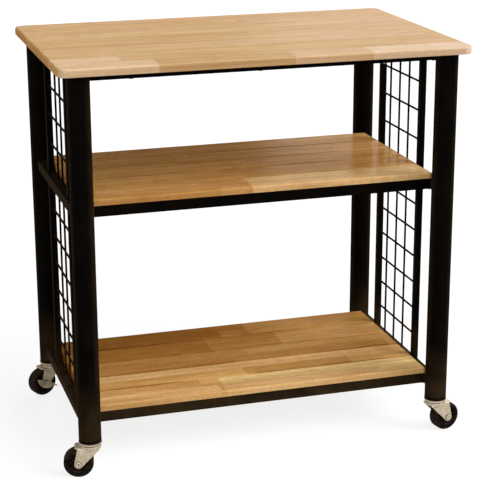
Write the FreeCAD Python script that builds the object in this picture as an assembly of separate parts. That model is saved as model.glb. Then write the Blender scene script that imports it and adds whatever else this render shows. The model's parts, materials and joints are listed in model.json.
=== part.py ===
"""Kitchen cart: a hardwood worktop and two slatted shelves on a welded steel frame with four casters.

Millimetres, +Z up. The origin is on the floor under the middle of the worktop, +X to the right of a
person at the long front side and +Y away from them.
"""
import FreeCAD, Part
import math
import os

# Legs: round steel tubes at the four corners
leg_spacing_x = 690.0
leg_spacing_y = 422.0
leg_diameter = 42.0
leg_wall = 1.5

# Rails: square tubes in three levels, and the clear heights between the levels
rail_size = 21.0
rail_wall = 1.5
rail_corner = 2.0
cope_gap = 0.1
foot_length = 12.0
lower_bay_height = 377.5
upper_bay_height = 227.5

# Worktop
worktop_thickness = 15.0
worktop_side_overhang = 18.0
worktop_front_overhang = 13.0
worktop_corner = 18.0
worktop_upper_edge = 4.5
worktop_lower_edge = 1.0

# Shelves: slats side by side along X, flush with the front and rear rails
shelf_setback = 15.0
shelf_end_bearing = 2.5
slat_count = 5
slat_thickness = 12.0
slat_gap = 1.5
slat_chamfer = 2.5

# Bearers: short tubes from front rail to rear rail under the slats
bearer_width = 20.0
bearer_inset = 45.0

# Side grilles: uprights and welded wires between the side rails
upright_size = 12.0
upright_wall = 1.2
upright_corner = 1.2
upright_spacing = 202.0
wire_diameter = 4.0
wire_pitch = 47.0
wire_count = 3
mesh_inset = 2.5
weld_sink = 0.2
upper_cell_count = 4
lower_cell_count = 7

# Screws: pan heads under the steel, tips in the wood
screw_diameter = 4.0
screw_head_diameter = 8.0
screw_head_height = 2.4
screw_head_edge = 1.0
screw_tip = 3.0
screw_tip_share = 0.25
screw_fit = 0.05
screw_hole_gap = 0.3
worktop_screw_bite = 9.0
worktop_screw_spacing = 240.0
slat_screw_bite = 8.0

# Leg sockets: plugs with a flange under the tube and a bore for the caster's stem
socket_depth = 45.0
socket_flange = 5.5
socket_edge = 3.0
socket_fit = 0.1

# Caster stem: pin in the socket, fixed raceway, kingpin through the fork with a riveted end
stem_diameter = 11.0
stem_length = 38.0
stem_tip = 2.0
stem_fit = 0.05
stem_race_diameter = 43.0
stem_race_height = 5.2
stem_race_edge = 2.0
kingpin_diameter = 10.0
kingpin_head_diameter = 16.0
kingpin_head_height = 3.0

# Caster fork: pressed steel, two tapering cheeks under a plate with a raised raceway and a rear lip
fork_trail = 22.5
fork_lead = 18.0
fork_rear_reach = 1.5
fork_lip = 5.5
fork_lip_corner = 5.0
fork_thickness = 2.0
fork_bend = 2.6
fork_tip_radius = 8.0
fork_race_diameter = 40.0
fork_race_height = 4.0
fork_race_edge = 1.6
running_gap = 0.3
running_fit = 0.05

# Wheel, turned about its axle
wheel_diameter = 56.0
wheel_width = 24.0
wheel_shoulder = 5.0
wheel_rim_depth = 9.0
wheel_recess = 3.0
wheel_hub_diameter = 17.0
wheel_hub_proud = 0.9
wheel_top_clearance = 2.0

# Axle: a rivet with a domed head at each end
axle_diameter = 8.0
axle_head_diameter = 13.0
axle_head_height = 2.2
axle_head_edge = 1.6

# Side brake on the rear casters: a boat-shaped rocker on the axle with a pedal at each end
brake_length = 46.0
brake_keel = 10.0
brake_deck = 7.0
brake_end = 2.4
brake_thickness = 2.0
pedal_length = 9.0
pedal_reach = 8.0
brake_tilt = 25.0

# Directions the casters trail in, in degrees from +X
front_left_heading = 168.0
front_right_heading = 12.0
rear_left_heading = 202.0
rear_right_heading = 338.0

# One overrun serves every cut, and one share of an edge's own length tells which way it lies
overrun = 5.0
lying_share = 1e-6

# Worked out from the sizes above
axle_z = wheel_diameter / 2
fork_plate_z = wheel_diameter + wheel_top_clearance
fork_race_z = fork_plate_z + fork_thickness
stem_race_z = fork_race_z + fork_race_height + running_gap
socket_z = stem_race_z + stem_race_height
leg_z = socket_z + socket_flange
lower_rail_z = leg_z + foot_length
middle_rail_z = lower_rail_z + rail_size + lower_bay_height
top_rail_z = middle_rail_z + rail_size + upper_bay_height
worktop_z = top_rail_z + rail_size

leg_x = leg_spacing_x / 2
leg_y = leg_spacing_y / 2
leg_radius = leg_diameter / 2
rail_half = rail_size / 2
side_rail_inner_x = leg_x - rail_half
shelf_front_y = leg_y - leg_radius - shelf_setback
shelf_end_x = side_rail_inner_x + shelf_end_bearing
cross_rail_y = shelf_front_y - rail_half
bearer_x = shelf_end_x - bearer_inset
slat_width = (2 * shelf_front_y - (slat_count - 1) * slat_gap) / slat_count

wheel_half = wheel_width / 2
hub_half = wheel_half + wheel_hub_proud
cheek_inner = hub_half + running_gap
cheek_outer = cheek_inner + fork_thickness
brake_inner = cheek_outer + running_gap
brake_outer = brake_inner + brake_thickness

UP = FreeCAD.Vector(0, 0, 1)
ORIGIN = FreeCAD.Vector(0, 0, 0)
LEVELS = {"lower": lower_rail_z, "middle": middle_rail_z, "top": top_rail_z}
SIDES = {"left": -1, "right": 1}
ENDS = {"front": -1, "rear": 1}
HEADINGS = {
    "front_left": front_left_heading,
    "front_right": front_right_heading,
    "rear_left": rear_left_heading,
    "rear_right": rear_right_heading,
}


def vec(x, y, z):
    """A point or direction in the cart's frame."""
    return FreeCAD.Vector(x, y, z)


def block(low, high):
    """A box between two opposite corners."""
    size = high - low
    return Part.makeBox(size.x, size.y, size.z, low)


def rod(radius, start, end):
    """A round bar from one point to another."""
    run = end - start
    return Part.makeCylinder(radius, run.Length, start, run)


def edges_along(shape, axis):
    """The straight edges of a shape that run along an axis."""
    found = []
    for edge in shape.Edges:
        run = edge.lastVertex().Point - edge.firstVertex().Point
        if len(edge.Vertexes) > 1 and run.Length > 0 and run.cross(axis).Length < run.Length * lying_share:
            found.append(edge)
    return found


def rim_edges(shape, z):
    """The edges of a shape that lie in the level plane at height z."""
    found = []
    for edge in shape.Edges:
        box = edge.BoundBox
        if max(abs(box.ZMin - z), abs(box.ZMax - z)) < box.DiagonalLength * lying_share:
            found.append(edge)
    return found


def box_tube(low, high, axis, wall, corner):
    """A box tube along one axis: a rounded box with a bore that runs out at both ends."""
    outer = block(low, high)
    outer = outer.makeFillet(corner, edges_along(outer, axis))
    across = vec(wall, wall, wall) - axis * (wall + overrun)
    return outer.cut(block(low + across, high - across))


def leg(x, y):
    """A round tube from above the caster socket to the worktop."""
    outer = rod(leg_radius, vec(x, y, leg_z), vec(x, y, worktop_z))
    bore = rod(leg_radius - leg_wall, vec(x, y, leg_z - overrun), vec(x, y, worktop_z + overrun))
    return outer.cut(bore)


def side_rail(x, z):
    """A rail from front leg to rear leg, with its ends coped round them."""
    low = vec(x - rail_half, -leg_y, z)
    high = vec(x + rail_half, leg_y, z + rail_size)
    rail = box_tube(low, high, vec(0, 1, 0), rail_wall, rail_corner)
    end_z = z + rail_size + overrun
    for y in (-leg_y, leg_y):
        rail = rail.cut(rod(leg_radius + cope_gap, vec(x, y, z - overrun), vec(x, y, end_z)))
    return rail


def cross_rail(y, z):
    """A rail from the left side rail to the right one."""
    low = vec(-side_rail_inner_x, y - rail_half, z)
    high = vec(side_rail_inner_x, y + rail_half, z + rail_size)
    return box_tube(low, high, vec(1, 0, 0), rail_wall, rail_corner)


def bearer(x, z):
    """A short tube from front rail to rear rail, with its top level with theirs."""
    reach = cross_rail_y - rail_half
    low = vec(x - bearer_width / 2, -reach, z)
    high = vec(x + bearer_width / 2, reach, z + rail_size)
    return box_tube(low, high, vec(0, 1, 0), rail_wall, rail_corner)


def uprights(x, z, height):
    """The two uprights of one grille, standing on one side rail and reaching the next."""
    half = upright_size / 2
    pair = []
    for y in (-upright_spacing / 2, upright_spacing / 2):
        low = vec(x - half, y - half, z)
        high = vec(x + half, y + half, z + height)
        pair.append(box_tube(low, high, UP, upright_wall, upright_corner))
    return Part.makeCompound(pair)


def mesh(x, side, z, height, cell_count):
    """One grille's wires, set inwards: level wires welded to the outer side of the standing ones."""
    radius = wire_diameter / 2
    offset = side * (radius - weld_sink / 2)
    standing_x = x - side * mesh_inset - offset
    level_x = x - side * mesh_inset + offset
    reach = upright_spacing / 2 - upright_size / 2
    wires = []
    for i in range(wire_count):
        y = (i - (wire_count - 1) / 2) * wire_pitch
        wires.append(rod(radius, vec(standing_x, y, z), vec(standing_x, y, z + height)))
    for i in range(1, cell_count):
        level = z + height * i / cell_count
        wires.append(rod(radius, vec(level_x, -reach, level), vec(level_x, reach, level)))
    return wires[0].multiFuse(wires[1:])


def screw(x, y, seat_z, grip, bite):
    """A pan-head screw driven upwards: its head is under seat_z and its tip is in the wood."""
    radius = screw_diameter / 2
    end_z = seat_z + grip + bite
    head = rod(screw_head_diameter / 2, vec(x, y, seat_z - screw_head_height), vec(x, y, seat_z))
    head = head.makeFillet(screw_head_edge, rim_edges(head, seat_z - screw_head_height))
    shank = rod(radius, vec(x, y, seat_z), vec(x, y, end_z - screw_tip))
    tip = Part.makeCone(radius, radius * screw_tip_share, screw_tip, vec(x, y, end_z - screw_tip), UP)
    return head.multiFuse([shank, tip]).removeSplitter()


def screw_hole(x, y, z0, z1, gap):
    """The hole for a screw's shank, with an overrun at the lower end only."""
    return rod(screw_diameter / 2 + gap, vec(x, y, z0 - overrun), vec(x, y, z1))


def worktop_screw_places():
    """Where the worktop's screws stand: along the front and the rear top rail."""
    return [(i * worktop_screw_spacing, y) for y in (-cross_rail_y, cross_rail_y) for i in (-1, 0, 1)]


def slat_y(i):
    """The middle of a slat, counted from the front."""
    return -shelf_front_y + slat_width / 2 + i * (slat_width + slat_gap)


def worktop():
    """A slab with round corners and rounded upper and lower edges, drilled for its screws."""
    reach_x = leg_x + leg_radius + worktop_side_overhang
    reach_y = leg_y + leg_radius + worktop_front_overhang
    top_z = worktop_z + worktop_thickness
    slab = block(vec(-reach_x, -reach_y, worktop_z), vec(reach_x, reach_y, top_z))
    slab = slab.makeFillet(worktop_corner, edges_along(slab, UP))
    slab = slab.makeFillet(worktop_upper_edge, rim_edges(slab, top_z))
    slab = slab.makeFillet(worktop_lower_edge, rim_edges(slab, worktop_z))
    for x, y in worktop_screw_places():
        slab = slab.cut(screw_hole(x, y, worktop_z, worktop_z + worktop_screw_bite, screw_fit))
    return slab


def slat(i, z):
    """One shelf slat with all upper edges chamfered, drilled for its two screws."""
    y = slat_y(i)
    low = vec(-shelf_end_x, y - slat_width / 2, z)
    high = vec(shelf_end_x, y + slat_width / 2, z + slat_thickness)
    board = block(low, high)
    board = board.makeChamfer(slat_chamfer, rim_edges(board, z + slat_thickness))
    for x in (-bearer_x, bearer_x):
        board = board.cut(screw_hole(x, y, z, z + slat_screw_bite, screw_fit))
    return board


def socket(x, y):
    """A plug in the leg's lower end, with a flange under the tube and a blind bore for the stem."""
    plug = rod(leg_radius - leg_wall - socket_fit, vec(x, y, leg_z), vec(x, y, leg_z + socket_depth))
    flange = rod(leg_radius, vec(x, y, socket_z), vec(x, y, leg_z))
    flange = flange.makeFillet(socket_edge, rim_edges(flange, socket_z))
    bore_end_z = socket_z + stem_length + stem_tip
    bore = rod(stem_diameter / 2 + stem_fit, vec(x, y, socket_z - overrun), vec(x, y, bore_end_z))
    return plug.fuse(flange).cut(bore)


def stem(x, y):
    """The fixed half of a caster: stem, upper raceway, kingpin and its riveted end under the fork."""
    race = rod(stem_race_diameter / 2, vec(x, y, stem_race_z), vec(x, y, socket_z))
    race = race.makeFillet(stem_race_edge, rim_edges(race, stem_race_z))
    pin = rod(stem_diameter / 2, vec(x, y, socket_z), vec(x, y, socket_z + stem_length))
    pin = pin.makeChamfer(stem_tip, rim_edges(pin, socket_z + stem_length))
    head_z = fork_plate_z - running_gap
    kingpin = rod(kingpin_diameter / 2, vec(x, y, head_z), vec(x, y, stem_race_z))
    head = rod(kingpin_head_diameter / 2, vec(x, y, head_z - kingpin_head_height), vec(x, y, head_z))
    return race.multiFuse([pin, kingpin, head]).removeSplitter()


def tangent_point(x, z, side):
    """Where a line from (x, z) touches the round tip of the fork's cheek, on the given side."""
    bearing = math.atan2(z - axle_z, x - fork_trail)
    swing = math.acos(fork_tip_radius / math.hypot(x - fork_trail, z - axle_z))
    return tip_point(bearing + side * swing), bearing + side * swing


def tip_point(angle):
    """A point of the round tip of the fork's cheek."""
    return vec(fork_trail + fork_tip_radius * math.cos(angle), 0, axle_z + fork_tip_radius * math.sin(angle))


def fork_cheek(y):
    """One cheek: a plate that tapers from the fork's top plate to a round tip at the axle."""
    front = vec(-fork_lead, 0, fork_plate_z)
    rear = vec(fork_trail + fork_rear_reach, 0, fork_plate_z)
    rear_touch, rear_angle = tangent_point(rear.x, rear.z, -1)
    front_touch, front_angle = tangent_point(front.x, front.z, 1)
    lowest = tip_point((rear_angle + front_angle) / 2 - math.pi)
    outline = Part.Wire([
        Part.LineSegment(front, rear).toShape(),
        Part.LineSegment(rear, rear_touch).toShape(),
        Part.Arc(rear_touch, lowest, front_touch).toShape(),
        Part.LineSegment(front_touch, front).toShape(),
    ])
    cheek = Part.Face(outline).extrude(vec(0, fork_thickness, 0))
    cheek.translate(vec(0, y, 0))
    return cheek


def fork():
    """The swivelling half of a caster, trailing along +X from a swivel axis at the origin."""
    rear_x = fork_trail + fork_rear_reach
    plate = block(vec(-fork_lead, -cheek_outer, fork_plate_z), vec(rear_x, cheek_outer, fork_race_z))
    body = plate.multiFuse([fork_cheek(cheek_inner), fork_cheek(-cheek_outer)]).removeSplitter()
    shoulders = [e for e in edges_along(body, vec(1, 0, 0)) if e.CenterOfMass.z > fork_plate_z]
    body = body.makeFillet(fork_bend, shoulders)
    lip = block(vec(0, -cheek_inner, fork_plate_z), vec(rear_x + fork_lip, cheek_inner, fork_race_z))
    lip = lip.makeFillet(fork_lip_corner, [e for e in edges_along(lip, UP) if e.CenterOfMass.x > rear_x])
    race = rod(fork_race_diameter / 2, vec(0, 0, fork_plate_z), vec(0, 0, fork_race_z + fork_race_height))
    race = race.makeFillet(fork_race_edge, rim_edges(race, fork_race_z + fork_race_height))
    body = body.multiFuse([lip, race]).removeSplitter()
    kingpin_z = fork_race_z + fork_race_height + overrun
    kingpin_low = vec(0, 0, fork_plate_z - overrun)
    body = body.cut(rod(kingpin_diameter / 2 + running_fit, kingpin_low, vec(0, 0, kingpin_z)))
    reach = cheek_outer + overrun
    axle_start = vec(fork_trail, -reach, axle_z)
    return body.cut(rod(axle_diameter / 2 + running_fit, axle_start, vec(fork_trail, reach, axle_z)))


def axle_head(seat_y, side):
    """A domed rivet head standing out from seat_y."""
    head = rod(axle_head_diameter / 2, ORIGIN, vec(0, 0, axle_head_height))
    head = head.makeFillet(axle_head_edge, rim_edges(head, axle_head_height))
    head.rotate(ORIGIN, vec(1, 0, 0), -side * 90)
    head.translate(vec(fork_trail, seat_y, axle_z))
    return head


def axle(brake_side):
    """The axle rivet; on a braked caster it is longer on the brake's side."""
    seats = {side: side * cheek_outer for side in (-1, 1)}
    if brake_side:
        seats[brake_side] = brake_side * (brake_outer + running_gap)
    pin = rod(axle_diameter / 2, vec(fork_trail, seats[-1], axle_z), vec(fork_trail, seats[1], axle_z))
    return pin.multiFuse([axle_head(seats[side], side) for side in (-1, 1)]).removeSplitter()


def wheel():
    """A wheel turned from its half section: hub, recessed web, and a rim with round shoulders."""
    bore = axle_diameter / 2 + running_fit
    hub = wheel_hub_diameter / 2
    tread = wheel_diameter / 2
    rim = tread - wheel_rim_depth
    web_half = wheel_half - wheel_recess
    round_in = wheel_shoulder * (1 - math.cos(math.pi / 4))
    section = Part.Wire([
        Part.LineSegment(vec(bore, -hub_half, 0), vec(bore, hub_half, 0)).toShape(),
        Part.LineSegment(vec(bore, hub_half, 0), vec(hub, hub_half, 0)).toShape(),
        Part.LineSegment(vec(hub, hub_half, 0), vec(hub, web_half, 0)).toShape(),
        Part.LineSegment(vec(hub, web_half, 0), vec(rim - wheel_recess, web_half, 0)).toShape(),
        Part.LineSegment(vec(rim - wheel_recess, web_half, 0), vec(rim, wheel_half, 0)).toShape(),
        Part.LineSegment(vec(rim, wheel_half, 0), vec(tread - wheel_shoulder, wheel_half, 0)).toShape(),
        Part.Arc(vec(tread - wheel_shoulder, wheel_half, 0), vec(tread - round_in, wheel_half - round_in, 0),
                 vec(tread, wheel_half - wheel_shoulder, 0)).toShape(),
        Part.LineSegment(vec(tread, wheel_half - wheel_shoulder, 0),
                         vec(tread, wheel_shoulder - wheel_half, 0)).toShape(),
        Part.Arc(vec(tread, wheel_shoulder - wheel_half, 0), vec(tread - round_in, round_in - wheel_half, 0),
                 vec(tread - wheel_shoulder, -wheel_half, 0)).toShape(),
        Part.LineSegment(vec(tread - wheel_shoulder, -wheel_half, 0), vec(rim, -wheel_half, 0)).toShape(),
        Part.LineSegment(vec(rim, -wheel_half, 0), vec(rim - wheel_recess, -web_half, 0)).toShape(),
        Part.LineSegment(vec(rim - wheel_recess, -web_half, 0), vec(hub, -web_half, 0)).toShape(),
        Part.LineSegment(vec(hub, -web_half, 0), vec(hub, -hub_half, 0)).toShape(),
        Part.LineSegment(vec(hub, -hub_half, 0), vec(bore, -hub_half, 0)).toShape(),
    ])
    turned = Part.Face(section).revolve(ORIGIN, vec(0, 1, 0), 360)
    turned.translate(vec(fork_trail, 0, axle_z))
    return turned


def brake(side):
    """The brake's rocker outside one cheek: a boat-shaped plate on the axle with a pedal at each end."""
    half = brake_length / 2
    bow = vec(half, 0, brake_end)
    stern = vec(-half, 0, brake_end)
    hull = Part.Wire([
        Part.Arc(stern, vec(0, 0, -brake_keel), bow).toShape(),
        Part.Arc(bow, vec(0, 0, brake_deck), stern).toShape(),
    ])
    plate = Part.Face(hull).extrude(vec(0, brake_thickness, 0))
    plate.translate(vec(0, brake_inner, 0))
    solids = [plate]
    for end in (-1, 1):
        tip = end * half
        root = end * (half - pedal_length)
        low = vec(min(tip, root), brake_inner, brake_end - brake_thickness / 2)
        high = vec(max(tip, root), brake_outer + pedal_reach, brake_end + brake_thickness / 2)
        solids.append(block(low, high))
    rocker = solids[0].multiFuse(solids[1:])
    rocker = rocker.cut(rod(axle_diameter / 2 + running_fit, ORIGIN, vec(0, brake_outer + overrun, 0)))
    rocker.rotate(ORIGIN, vec(0, 1, 0), -brake_tilt)
    if side < 0:
        rocker = rocker.mirror(ORIGIN, vec(0, 1, 0))
    rocker.translate(vec(fork_trail, 0, axle_z))
    return rocker


def placed(shape, x, y, heading):
    """A caster piece turned to its heading and set under its leg."""
    moved = shape.copy()
    moved.rotate(ORIGIN, UP, heading)
    moved.translate(vec(x, y, 0))
    return moved


def frame_nodes():
    """Legs, rails, bearers, grilles and sockets."""
    nodes = {}
    sockets = []
    for end, end_sign in ENDS.items():
        for side, side_sign in SIDES.items():
            nodes[f"{end}_{side}_leg"] = leg(side_sign * leg_x, end_sign * leg_y)
            sockets.append(socket(side_sign * leg_x, end_sign * leg_y))
    nodes["leg_sockets"] = Part.makeCompound(sockets)
    for level, z in LEVELS.items():
        for side, sign in SIDES.items():
            nodes[f"{level}_{side}_rail"] = side_rail(sign * leg_x, z)
        for end, sign in ENDS.items():
            nodes[f"{level}_{end}_rail"] = cross_rail(sign * cross_rail_y, z)
    for end in ENDS:
        for x, y in worktop_screw_places():
            hole = screw_hole(x, y, top_rail_z, worktop_z + overrun, screw_hole_gap)
            nodes[f"top_{end}_rail"] = nodes[f"top_{end}_rail"].cut(hole)
    grilles = {
        "lower": (lower_rail_z + rail_size, lower_bay_height, lower_cell_count),
        "upper": (middle_rail_z + rail_size, upper_bay_height, upper_cell_count),
    }
    for grille, (z, height, cell_count) in grilles.items():
        for side, sign in SIDES.items():
            nodes[f"{grille}_{side}_uprights"] = uprights(sign * leg_x, z, height)
            nodes[f"{grille}_{side}_mesh"] = mesh(sign * leg_x, sign, z, height, cell_count)
    return nodes


def wood_nodes():
    """Worktop, slats, the bearers under them and the screws that hold them."""
    nodes = {"worktop": worktop()}
    grip = rail_size
    places = worktop_screw_places()
    worktop_screws = [screw(x, y, top_rail_z, grip, worktop_screw_bite) for x, y in places]
    nodes["worktop_screws"] = Part.makeCompound(worktop_screws)
    slat_screws = []
    for level in ("lower", "middle"):
        seat_z = LEVELS[level]
        for side, sign in SIDES.items():
            tube = bearer(sign * bearer_x, seat_z)
            hole_end_z = seat_z + rail_size + overrun
            for i in range(slat_count):
                tube = tube.cut(screw_hole(sign * bearer_x, slat_y(i), seat_z, hole_end_z, screw_hole_gap))
                slat_screws.append(screw(sign * bearer_x, slat_y(i), seat_z, grip, slat_screw_bite))
            nodes[f"{level}_{side}_bearer"] = tube
        for i in range(slat_count):
            nodes[f"{level}_slat_{i + 1}"] = slat(i, seat_z + rail_size)
    nodes["slat_screws"] = Part.makeCompound(slat_screws)
    return nodes


def caster_nodes():
    """Four casters; the rear two have a brake on the cheek that faces forwards."""
    nodes = {}
    for end, end_sign in ENDS.items():
        for side, side_sign in SIDES.items():
            x = side_sign * leg_x
            y = end_sign * leg_y
            corner = f"{end}_{side}"
            heading = HEADINGS[corner]
            brake_side = -side_sign if end == "rear" else 0
            nodes[f"{corner}_stem"] = stem(x, y)
            nodes[f"{corner}_fork"] = placed(fork(), x, y, heading)
            nodes[f"{corner}_axle"] = placed(axle(brake_side), x, y, heading)
            nodes[f"{corner}_wheel"] = placed(wheel(), x, y, heading)
            if brake_side:
                nodes[f"{corner}_brake"] = placed(brake(brake_side), x, y, heading)
    return nodes


def build():
    """Write every node to its own file."""
    os.makedirs("parts", exist_ok=True)
    for make in (frame_nodes, wood_nodes, caster_nodes):
        for name, shape in make().items():
            shape.exportStep(f"parts/{name}.step")


build()
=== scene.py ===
import json
import math

import bmesh
import bpy
import numpy as np
from mathutils import Matrix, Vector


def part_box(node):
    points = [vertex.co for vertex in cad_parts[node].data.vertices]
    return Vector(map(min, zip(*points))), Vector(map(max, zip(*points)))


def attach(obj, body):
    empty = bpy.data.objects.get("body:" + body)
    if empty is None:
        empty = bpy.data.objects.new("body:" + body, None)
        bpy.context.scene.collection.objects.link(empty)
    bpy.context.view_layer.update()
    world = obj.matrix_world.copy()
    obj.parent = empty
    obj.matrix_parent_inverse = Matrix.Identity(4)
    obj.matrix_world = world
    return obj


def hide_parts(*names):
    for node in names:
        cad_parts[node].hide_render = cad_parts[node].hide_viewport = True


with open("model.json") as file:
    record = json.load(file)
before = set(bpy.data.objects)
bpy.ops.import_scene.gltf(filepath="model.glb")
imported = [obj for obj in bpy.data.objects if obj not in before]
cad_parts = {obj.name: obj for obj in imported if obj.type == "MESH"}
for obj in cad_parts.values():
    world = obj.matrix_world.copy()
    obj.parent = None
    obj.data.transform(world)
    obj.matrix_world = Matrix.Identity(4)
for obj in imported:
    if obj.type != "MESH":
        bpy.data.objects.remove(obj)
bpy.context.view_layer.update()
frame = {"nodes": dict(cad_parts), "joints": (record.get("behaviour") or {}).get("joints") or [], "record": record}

NODES = frame["nodes"]

MM = 0.001
SIDES = ("left", "right")
ENDS = ("front", "rear")
LEVELS = ("lower", "middle", "top")
CORNERS = [f"{end}_{side}" for end in ENDS for side in SIDES]

# Camera: solved from the photograph's straight edges, in metres, degrees and pixels
FRAME_PX = 480
FOCAL_PX = 1547.45
SENSOR = 36.0
FAR_CLIP = 100.0
EYE = np.array([-0.82742, -2.80614, 1.26317])
YAW, PITCH, ROLL = -16.584, -17.104, -0.242


def linear(hex_colour):
    """An sRGB hex colour as linear red, green, blue and alpha 1."""
    value = np.array([int(hex_colour[i:i + 2], 16) for i in (1, 3, 5)]) / 255
    value = np.where(value <= 0.04045, value / 12.92, ((value + 0.055) / 1.055) ** 2.4)
    return (*value.tolist(), 1.0)


def add(tree, kind, inputs=None, out=0, ramp=None, **settings):
    """Adds one shader node with its settings and gives one of its outputs.

    Its inputs are filled with links or with plain values, and its ramp with stops of place and colour.
    """
    node = tree.nodes.new("ShaderNode" + kind)
    for name, value in settings.items():
        setattr(node, name, value)
    for i, (place, colour) in enumerate(ramp or []):
        stop = node.color_ramp.elements[i] if i < 2 else node.color_ramp.elements.new(place)
        stop.position = place
        stop.color = linear(colour) if isinstance(colour, str) else (colour, colour, colour, 1)
    for socket, value in (inputs or {}).items():
        if isinstance(value, bpy.types.NodeSocket):
            tree.links.new(value, node.inputs[socket])
        else:
            node.inputs[socket].default_value = value
    return node.outputs[out] if node.outputs else node


def new_material(name):
    """An empty material: its node tree and its shader, joined to the output."""
    material = bpy.data.materials.new(name)
    material.use_nodes = True
    tree = material.node_tree
    tree.nodes.clear()
    surface = add(tree, "BsdfPrincipled")
    add(tree, "OutputMaterial", {"Surface": surface})
    return material, tree, surface.node


# Roughness of the colour under a film, and the strength of every relief
UNDER_FILM = 0.6
RELIEF_STRENGTH = 0.7


def thin_coat(tree, shader, weight, gloss):
    """A thin clear film over the colour: it alone mirrors, as strongly as its weight."""
    shader.inputs["Specular IOR Level"].default_value = 0.0
    shader.inputs["Roughness"].default_value = UNDER_FILM
    shader.inputs["Coat Weight"].default_value = weight
    tree.links.new(gloss, shader.inputs["Coat Roughness"])


def relieve(tree, shader, height, depth):
    """Small relief for the colour and for the film over it."""
    bump = add(tree, "Bump", {"Height": height, "Distance": depth, "Strength": RELIEF_STRENGTH})
    tree.links.new(bump, shader.inputs["Normal"])
    tree.links.new(bump, shader.inputs["Coat Normal"])


# The range that most of a noise field lies in
FIELD_LOW, FIELD_HIGH = 0.3, 0.7

# Patterns of the wood: length along the grain and width across it in metres, and detail. The vessels are
# drawn three times as coarse as real, and the pores as specks of 5 mm, so that they show
GRAIN = {
    "cloud": (0.210, 0.034, 2.0),
    "streak": (0.240, 0.0085, 4.0),
    "fibre": (0.090, 0.0024, 3.0),
    "vessel": (0.016, 0.0010, 1.0),
    "fleck": (0.070, 0.0060, 1.0),
    "speck": (0.005, 0.0090, 1.0),
}
PORE_LOW, PORE_HIGH = 0.60, 0.72

# What a stave draws: the shift of its row in stave lengths, the shift of its patterns in metres, its pith's
# place across in stave widths, its pith's depth in metres and how steeply the pith drifts along the stave
ROW_SHIFT = 9.0
PATTERN_SHIFT = (7.0, 5.0, 3.0)
PITH_ACROSS = (-2.0, 1.0)
PITH_DEPTH = (20 * MM, 80 * MM)
PITH_DRIFT = (-0.1, 0.1)
LAYERS_PER_METRE = 4.0
RING_PITCH = 4.4 * MM
RING_WANDER = 4 * RING_PITCH

# A stave's tone is its own draw with this share of its row's tone, which changes at a height between shelves
ROW_SHARE = 0.72
SHELF_SPLIT = 300 * MM

# Glue lines and butt joints are drawn 0.6 mm wide, so that they show
GLUE_WIDTH = 0.6 * MM
GLUE_DARK = 0.84
GLUE_DEPTH = 3.0
WOOD_RELIEF = 0.08 * MM

# Painted shade in the grooves, for the shade down in the gaps between boards: the part of a groove's width that
# is darkest, how far it stays from the outer edges, and how much of it the cloudy pattern leaves
GROOVE_CORE_SHARE = 0.55
GROOVE_MARGIN = 2 * MM
SHADE_PATCH_LOW, SHADE_PATCH_HIGH = 0.35, 0.65
SHADE_PATCH_LEAST, SHADE_PATCH_MOST = 0.15, 1.0

# Darker wood is redder: blue falls fastest and red slowest. Some staves are a little yellower, others pinker
RED_POWER, BLUE_POWER = 0.75, 1.45
YELLOW_CAST = (1.00, 1.01, 0.93, 1)
PINK_CAST = (1.01, 0.98, 1.03, 1)
END_FADE = 5 * MM


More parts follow.
